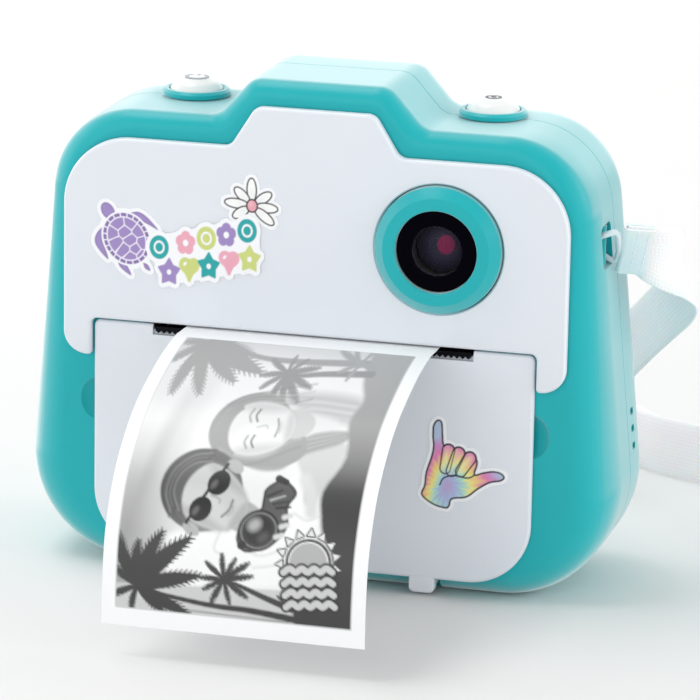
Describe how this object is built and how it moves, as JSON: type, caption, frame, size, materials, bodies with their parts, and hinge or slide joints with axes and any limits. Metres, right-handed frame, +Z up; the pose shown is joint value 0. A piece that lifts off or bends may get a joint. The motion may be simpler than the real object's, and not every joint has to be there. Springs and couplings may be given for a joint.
{
  "type": "children's instant-print camera",
  "caption": "Children's instant-print camera with a rounded two-part shell, front cover, paper door, print strip, top buttons, rear screen and hand strap.",
  "frame": {"origin": "middle of the flat underside, 25 mm behind the front cover's face", "axes": "+X to the viewer's right as seen from the front, +Y to the back, +Z up; the lens looks along -Y"},
  "size_m": [0.1655, 0.2086, 0.1122],
  "materials": {
    "teal_shell": "satin moulded ABS",
    "white_cover": "satin moulded ABS",
    "white_key": "satin moulded ABS",
    "black_plastic": "matt",
    "window_glass": "polished acrylic",
    "lens_glass": "coated optical glass",
    "steel": "brushed",
    "cutter": "blackened steel",
    "aluminium": "anodised",
    "circuit_board": "solder mask",
    "platen_rubber": "matt",
    "gear_plastic": "acetal",
    "paper": "smooth thermal paper",
    "webbing": "woven polyester",
    "battery_foil": "foil pouch"
  },
  "bodies": {
    "camera": {"front_shell": "teal_shell", "rear_shell": "teal_shell", "lens_ring": "teal_shell", "collar_left": "teal_shell", "collar_right": "teal_shell", "strap_anchor": "teal_shell", "strap_post": "teal_shell", "front_panel": "white_cover", "strap_slider": "white_key", "lens_barrel": "black_plastic", "lens_bezel": "black_plastic", "switch_left": "black_plastic", "switch_right": "black_plastic", "paper_bin": "black_plastic", "speaker": "black_plastic", "memory_card": "black_plastic", "print_head": "black_plastic", "display_panel": "black_plastic", "lens_window": "window_glass", "display_window": "window_glass", "lens_element": "lens_glass", "hinge_pin_left": "steel", "hinge_pin_right": "steel", "idler_pin": "steel", "feed_motor": "steel", "printer_frame": "steel", "usb_socket": "steel", "screw_1": "steel", "screw_2": "steel", "screw_3": "steel", "screw_4": "steel", "head_plate": "aluminium", "camera_module": "circuit_board", "switch_board": "circuit_board", "main_board": "circuit_board", "key_board": "circuit_board", "paper_web": "paper", "strap_cord": "webbing", "strap_webbing": "webbing", "battery": "battery_foil"},
    "door": {"paper_door": "white_cover", "tear_bar": "cutter"},
    "platen": {"platen_shaft": "steel", "platen_sleeve": "platen_rubber", "platen_gear": "gear_plastic"},
    "idler": {"idler_gear": "gear_plastic"},
    "pinion": {"motor_pinion": "gear_plastic"},
    "roll": {"paper_roll": "paper", "roll_core": "white_key"},
    "print": {"photo_print": "paper"},
    "power": {"power_button": "white_key"},
    "shutter": {"shutter_button": "white_key"},
    "port_flap": {"port_cover": "teal_shell"},
    "centre_button": {"centre_key": "white_key"},
    "up_button": {"up_key": "white_key"},
    "down_button": {"down_key": "white_key"},
    "left_button": {"left_key": "white_key"},
    "right_button": {"right_key": "white_key"},
    "menu_button": {"menu_key": "white_key"},
    "play_button": {"play_key": "white_key"}
  },
  "joints": [
    {"name": "door_open", "type": "hinge", "parent": "camera", "child": "door", "pos_m": [0, -0.0205, 0.004], "axis": [1, 0, 0], "range_deg": [0, 75]},
    {"name": "print_lift", "type": "hinge", "parent": "door", "child": "print", "pos_m": [0, -0.0254, 0.0565], "axis": [1, 0, 0], "range_deg": [-110, 0]},
    {"name": "roll_spin", "type": "hinge", "parent": "camera", "child": "roll", "pos_m": [0, -0.003, 0.0194], "axis": [1, 0, 0], "continuous": true},
    {"name": "platen_spin", "type": "hinge", "parent": "door", "child": "platen", "pos_m": [0, -0.0174, 0.0492], "axis": [1, 0, 0], "continuous": true},
    {"name": "idler_spin", "type": "hinge", "parent": "camera", "child": "idler", "pos_m": [0, -0.0078, 0.052], "axis": [1, 0, 0], "continuous": true},
    {"name": "pinion_spin", "type": "hinge", "parent": "camera", "child": "pinion", "pos_m": [0, -0.0005, 0.04764], "axis": [1, 0, 0], "continuous": true},
    {"name": "power_press", "type": "slide", "parent": "camera", "child": "power", "axis": [0, 0, -1], "range_m": [0, 0.0008], "stiffness_N_per_m": 300, "springref_m": -0.001},
    {"name": "shutter_press", "type": "slide", "parent": "camera", "child": "shutter", "axis": [0, 0, -1], "range_m": [0, 0.0008], "stiffness_N_per_m": 300, "springref_m": -0.001},
    {"name": "port_open", "type": "hinge", "parent": "camera", "child": "port_flap", "pos_m": [-0.06555, 0.007, 0.0406], "axis": [0, -1, 0], "range_deg": [0, 95]},
    {"name": "centre_press", "type": "slide", "parent": "camera", "child": "centre_button", "axis": [0, -1, 0], "range_m": [0, 0.0007], "stiffness_N_per_m": 200, "springref_m": -0.001},
    {"name": "up_press", "type": "slide", "parent": "camera", "child": "up_button", "axis": [0, -1, 0], "range_m": [0, 0.0007], "stiffness_N_per_m": 200, "springref_m": -0.001},
    {"name": "down_press", "type": "slide", "parent": "camera", "child": "down_button", "axis": [0, -1, 0], "range_m": [0, 0.0007], "stiffness_N_per_m": 200, "springref_m": -0.001},
    {"name": "left_press", "type": "slide", "parent": "camera", "child": "left_button", "axis": [0, -1, 0], "range_m": [0, 0.0007], "stiffness_N_per_m": 200, "springref_m": -0.001},
    {"name": "right_press", "type": "slide", "parent": "camera", "child": "right_button", "axis": [0, -1, 0], "range_m": [0, 0.0007], "stiffness_N_per_m": 200, "springref_m": -0.001},
    {"name": "menu_press", "type": "slide", "parent": "camera", "child": "menu_button", "axis": [0, -1, 0], "range_m": [0, 0.0007], "stiffness_N_per_m": 200, "springref_m": -0.001},
    {"name": "play_press", "type": "slide", "parent": "camera", "child": "play_button", "axis": [0, -1, 0], "range_m": [0, 0.0007], "stiffness_N_per_m": 200, "springref_m": -0.001}
  ],
  "couplings": [
    {"joint": "print_lift", "follows": "door_open", "ratio": -1.4666},
    {"joint": "platen_spin", "follows": "roll_spin", "ratio": -3.125},
    {"joint": "idler_spin", "follows": "roll_spin", "ratio": 2.0833},
    {"joint": "pinion_spin", "follows": "roll_spin", "ratio": -5}
  ]
}
